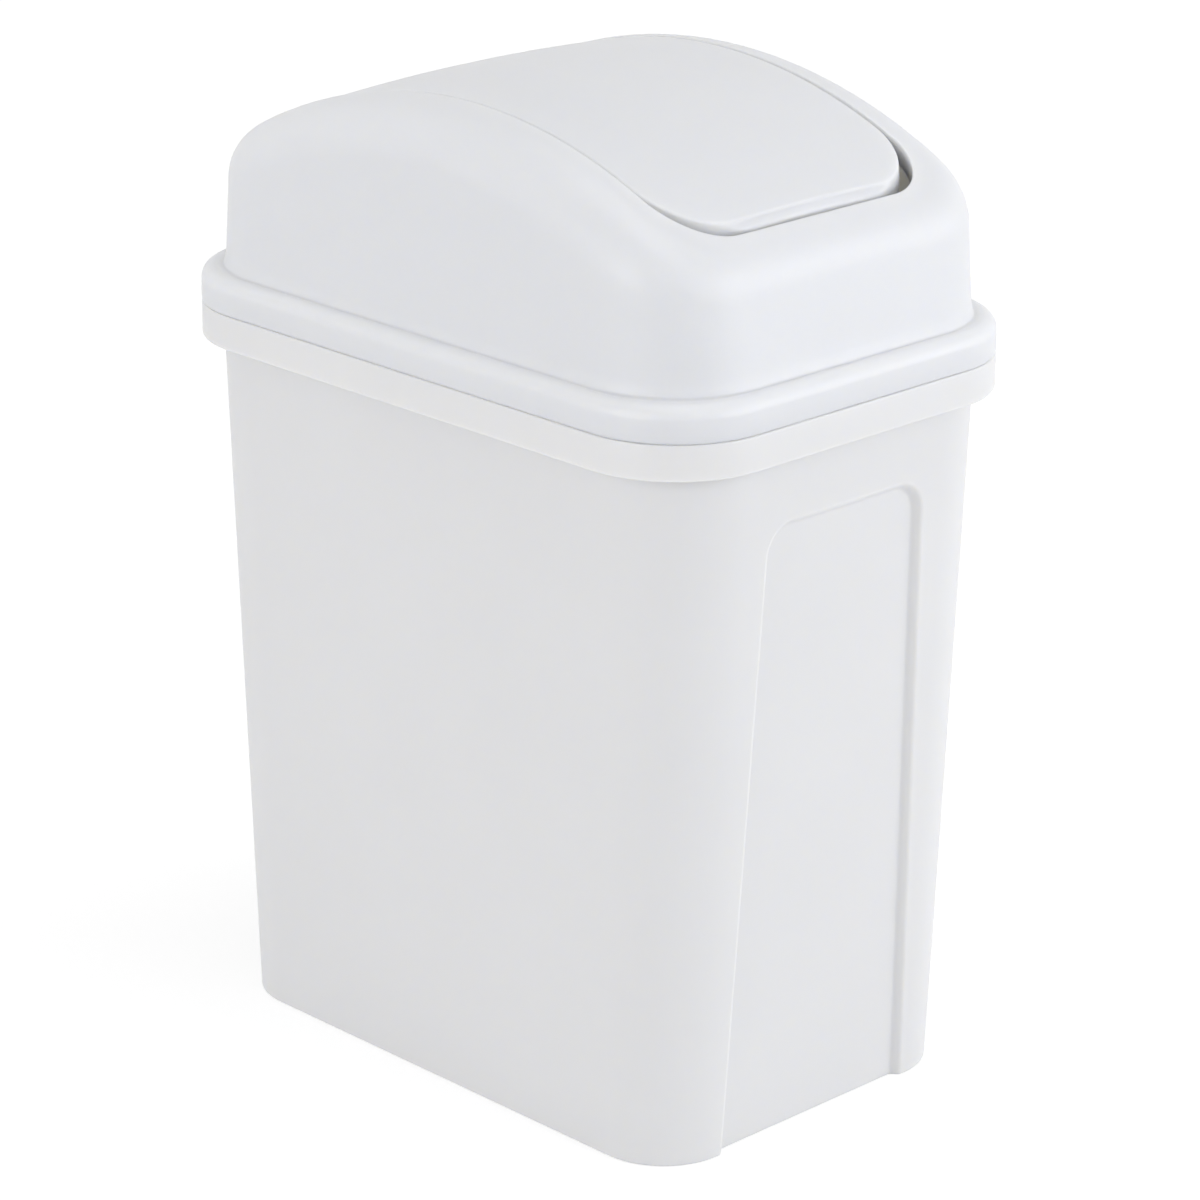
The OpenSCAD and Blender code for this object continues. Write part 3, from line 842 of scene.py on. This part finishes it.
# %% Lugs
LUG_R = 5.5
LUG_T = 2.4
LUG_SINK = 0.3
LUG_TOP = crown_z - WALL + LUG_SINK
BORE_R = 2.55
LUG_ROUND = 0.3
LUG_INSET = 0.02
lug_in = OPENING[0] / 2 + LUG_INSET
lug_out = OPENING[0] / 2 + LUG_T


def lug_outline(x, grow):
    """The lug's outline: round below the pivot, upright sides and a flat top above it."""
    radius, top = LUG_R + grow, LUG_TOP - PIVOT_Z + grow
    points = ring(x, 1)
    away = points[:, 1:] - (0, PIVOT_Z)
    to_side = radius / np.maximum(np.abs(away[:, 0]), TINY)
    to_top = top / np.maximum(away[:, 1], TINY)
    reach = np.where(away[:, 1] <= 0, radius, np.minimum(to_side, to_top))
    points[:, 1:] = away * reach[:, None] + (0, PIVOT_Z)
    return points


lug_rings = [ring(lug_in + LUG_ROUND, BORE_R), ring(lug_out - LUG_ROUND, BORE_R)]
lug_rings += [ring(lug_out, BORE_R + LUG_ROUND), lug_outline(lug_out, -LUG_ROUND)]
lug_rings += [lug_outline(lug_out - LUG_ROUND, 0), lug_outline(lug_in + LUG_ROUND, 0)]
lug_rings += [lug_outline(lug_in, -LUG_ROUND), ring(lug_in, BORE_R + LUG_ROUND)]
lid_lugs = add_piece("lid_lugs", skin("lid_lugs", [lug_rings, mirrored(lug_rings)], closed=True))

# %% [markdown]
# ## Every piece joins its body
# Each piece rides on the body that it belongs to, so the hood lifts and the flap swings as packed.

# %% Bodies
for piece, body, node, slot in (
    (bin_shell, "bin", "bin_body", "body_plastic"),
    (bin_rim, "bin", None, "body_plastic"),
    (lid_dome, "lid", "lid_hood", "lid_plastic"),
    (lid_lugs, "lid", None, "lid_plastic"),
    (flap_panel, "flap", "swing_flap", "flap_plastic"),
    (flap_pins, "flap", None, "flap_plastic"),
):
    piece.data.materials.clear()
    piece.data.materials.append(finishes[slot])
    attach(piece, body)
    if node:
        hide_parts(node)

# %% [markdown]
# ## Satin moulded polypropylene
# All three mouldings are white polypropylene with a fine satin grain from the mould. The hood and flap are
# given lighter whites than the bin. That is painted light: it makes up for the light that their longer reach
# inside the plastic loses into the dark inside, so that all three come out about as bright. Each finish is a
# node tree: two close whites that drift over a few centimetres, as pigment and wall thickness do, a
# roughness that varies a little, and a grain for the bump. The real grain is about 0.1 mm. It is drawn at
# 0.6 mm here, so that it shows in a picture without sparkling. The plastic is a little translucent: light
# goes in, scatters for some millimetres and comes out again, which softens edges and lightens narrow gaps.
# Blue light gets less far than red, so light through a wall comes out warm.

# %% Finishes
POLYPROPYLENE_IOR = 1.49


def linear(hex_colour):
    """A hex sRGB colour as the linear values that a shader takes."""
    channels = [int(hex_colour[i : i + 2], 16) / 255 for i in (1, 3, 5)]
    return (*(c / 12.92 if c <= 0.04045 else ((c + 0.055) / 1.055) ** 2.4 for c in channels), 1)


def per_metre(size_mm):
    """A texture's scale for features of a size in millimetres."""
    return 1 / (size_mm * MM)


DRIFT_MM = 45
GRAIN_MM = 0.6
SHEEN_MM = 9
GRAIN_DEPTH_MM = 0.012
GRAIN_STRENGTH = 0.25
ROUGHNESS_DRIFT = 0.04
REACH_OF_COLOURS = (1, 0.95, 0.8)


def satin_plastic(material, light_hex, dark_hex, roughness, light_reach_mm):
    """Builds the finish of one moulding. Light travels about the given reach inside the plastic."""
    material.use_nodes = True
    tree = material.node_tree
    tree.nodes.clear()
    place = add(tree, "ShaderNodeTexCoord").outputs["Object"]
    noises = []
    for size_mm, detail in ((DRIFT_MM, 2), (SHEEN_MM, 3), (GRAIN_MM, 2)):
        pattern = {"Vector": place, "Scale": per_metre(size_mm), "Detail": detail}
        noises.append(add(tree, "ShaderNodeTexNoise", pattern).outputs[0])
    drift, sheen, grain = noises
    whites = {"Factor": drift, 6: linear(light_hex), 7: linear(dark_hex)}
    colour = add(tree, "ShaderNodeMix", whites, data_type="RGBA").outputs[2]
    spread = {"Value": sheen, "To Min": roughness - ROUGHNESS_DRIFT, "To Max": roughness + ROUGHNESS_DRIFT}
    rough = add(tree, "ShaderNodeMapRange", spread).outputs[0]
    bumps = {"Height": grain, "Strength": GRAIN_STRENGTH, "Distance": GRAIN_DEPTH_MM * MM}
    bump = add(tree, "ShaderNodeBump", bumps).outputs[0]
    surface = {"Base Color": colour, "Roughness": rough, "IOR": POLYPROPYLENE_IOR, "Normal": bump}
    surface |= {"Subsurface Weight": 1, "Subsurface Radius": REACH_OF_COLOURS}
    surface |= {"Subsurface Scale": light_reach_mm * MM}
    shader = add(tree, "ShaderNodeBsdfPrincipled", surface).outputs[0]
    add(tree, "ShaderNodeOutputMaterial", {"Surface": shader})
    print(f"{material.name}: {light_hex} to {dark_hex}, roughness {roughness}")


satin_plastic(finishes["body_plastic"], "#E5E5E6", "#E2E2E3", 0.42, 2)
# The hood and flap get lighter whites than the bin: painted light, which makes up for what their 4 mm reach
# loses inside.
satin_plastic(finishes["lid_plastic"], "#EDEDEE", "#EAEBEC", 0.40, 4)
satin_plastic(finishes["flap_plastic"], "#EDEDEE", "#EAEBEC", 0.40, 4)

# %% [markdown]
# ## Camera
# A pinhole camera fitted to the outlines in the photo: azimuth, height, distance, focal length and the
# middle of the picture. The lens is long, so the upright edges stay nearly parallel.

# %% Camera
CAMERA_TURN = math.radians(-44.39)
CAMERA_RISE = math.radians(20.01)
CAMERA_DISTANCE = 1292.87
CAMERA_TARGET_Z = 126.28
CAMERA_ROLL = math.radians(0.364)
FOCAL_PIXELS = 4678.3
FRAME_PIXELS = 1200
MIDDLE_PIXEL = (590.55, 599.67)
scene = bpy.context.scene
camera_data = bpy.data.cameras.new("camera")
camera = bpy.data.objects.new("camera", camera_data)
scene.collection.objects.link(camera)
scene.camera = camera
camera_data.lens = FOCAL_PIXELS / FRAME_PIXELS * camera_data.sensor_width
camera_data.shift_x = (FRAME_PIXELS / 2 - MIDDLE_PIXEL[0]) / FRAME_PIXELS
camera_data.shift_y = (MIDDLE_PIXEL[1] - FRAME_PIXELS / 2) / FRAME_PIXELS
level_x, level_y = math.sin(CAMERA_TURN), -math.cos(CAMERA_TURN)
backwards = Vector((level_x * math.cos(CAMERA_RISE), level_y * math.cos(CAMERA_RISE), math.sin(CAMERA_RISE)))
aim = backwards.to_track_quat("Z", "Y").to_matrix().to_4x4() @ Matrix.Rotation(CAMERA_ROLL, 4, "Z")
eye = Vector((0, 0, CAMERA_TARGET_Z)) + backwards * CAMERA_DISTANCE
camera.matrix_world = Matrix.Translation(eye * MM) @ aim
print("camera at, m:", [round(v, 3) for v in camera.location])

# %% [markdown]
# ## Floor and light
# A pale floor and four big soft lamps, as in a studio: two on the narrow face, one on the broad face and
# one from above, with an even light from all round. Their strengths are set so that the palest parts stay
# under white. The white background is the world's and the floor's own colour for the camera, and never more
# light on the bin. The floor that the camera sees is a dimmer paint with a glow, so that it is white and
# still takes a soft shadow.

# %% Floor
FLOOR_HALF = 3000
FLOOR_PAINT = "#F4F4F4"
FLOOR_SHADE = "#BCBCBC"
GLOW_NEAR = 0.61
GLOW_FAR = 0.72
GLOW_RANGE = (0.3, 1.2)
floor_signs = ((-1, -1), (1, -1), (1, 1), (-1, 1))
floor_corners = [(sx * FLOOR_HALF * MM, sy * FLOOR_HALF * MM, 0) for sx, sy in floor_signs]
floor_mesh = bpy.data.meshes.new("floor")
floor_mesh.from_pydata(floor_corners, [], [(0, 1, 2, 3)])
floor_object = bpy.data.objects.new("floor", floor_mesh)
scene.collection.objects.link(floor_object)
floor_paint = bpy.data.materials.new("floor paint")
floor_paint.use_nodes = True
tree = floor_paint.node_tree
tree.nodes.clear()
path = add(tree, "ShaderNodeLightPath").outputs
paint = add(tree, "ShaderNodeBsdfDiffuse", {"Color": linear(FLOOR_PAINT)}).outputs[0]
shade = add(tree, "ShaderNodeBsdfDiffuse", {"Color": linear(FLOOR_SHADE)}).outputs[0]
place = add(tree, "ShaderNodeTexCoord").outputs["Object"]
distance = add(tree, "ShaderNodeVectorMath", {0: place}, operation="LENGTH").outputs["Value"]
reach = {0: distance, 1: GLOW_RANGE[0], 2: GLOW_RANGE[1], 3: GLOW_NEAR, 4: GLOW_FAR}
strength = add(tree, "ShaderNodeMapRange", reach).outputs[0]
glow = add(tree, "ShaderNodeEmission", {"Strength": strength}).outputs[0]
rays = {0: path["Is Camera Ray"], 1: path["Is Glossy Ray"]}
seen = add(tree, "ShaderNodeMath", rays, operation="MAXIMUM").outputs[0]
shown = add(tree, "ShaderNodeAddShader", {0: shade, 1: glow}).outputs[0]
either = add(tree, "ShaderNodeMixShader", {0: seen, 1: paint, 2: shown}).outputs[0]
add(tree, "ShaderNodeOutputMaterial", {"Surface": either})
floor_mesh.materials.append(floor_paint)

# %% World and lamps
AMBIENT = 0.5
WHITE = (1, 1, 1, 1)
scene.view_settings.view_transform = "Standard"
world = bpy.data.worlds.new("studio")
scene.world = world
world.use_nodes = True
tree = world.node_tree
tree.nodes.clear()
path = add(tree, "ShaderNodeLightPath").outputs
rays = {0: path["Is Camera Ray"], 1: path["Is Glossy Ray"]}
seen = add(tree, "ShaderNodeMath", rays, operation="MAXIMUM").outputs[0]
seen = add(tree, "ShaderNodeMath", {0: seen, 1: path["Is Transmission Ray"]}, operation="MAXIMUM").outputs[0]
ambient = add(tree, "ShaderNodeBackground", {"Color": WHITE, "Strength": AMBIENT}).outputs[0]
backdrop = add(tree, "ShaderNodeBackground", {"Color": WHITE, "Strength": 1}).outputs[0]
air = add(tree, "ShaderNodeMixShader", {0: seen, 1: ambient, 2: backdrop}).outputs[0]
add(tree, "ShaderNodeOutputWorld", {"Surface": air})

LAMP_SIZE = 1200
LAMP_AIM = Vector((0, 0, 140))
PLAIN = (1, 1, 1)
COOL = (0.96, 0.975, 1)
for name, place, power, colour in (
    ("front lamp", (600, -1650, 480), 9.9, COOL),
    ("right lamp", (1300, -1150, 480), 7.3, COOL),
    ("left lamp", (-1750, -50, 480), 12, PLAIN),
    ("top lamp", (0, 0, 1900), 7.8, PLAIN),
):
    lamp = bpy.data.lights.new(name, "AREA")
    lamp.energy = power
    lamp.color = colour
    lamp.size = LAMP_SIZE * MM
    lamp_object = bpy.data.objects.new(name, lamp)
    scene.collection.objects.link(lamp_object)
    aim = (Vector(place) - LAMP_AIM).to_track_quat("Z", "Y").to_matrix().to_4x4()
    lamp_object.matrix_world = Matrix.Translation(Vector(place) * MM) @ aim
    print(f"{name}: {power} W at {place} mm")
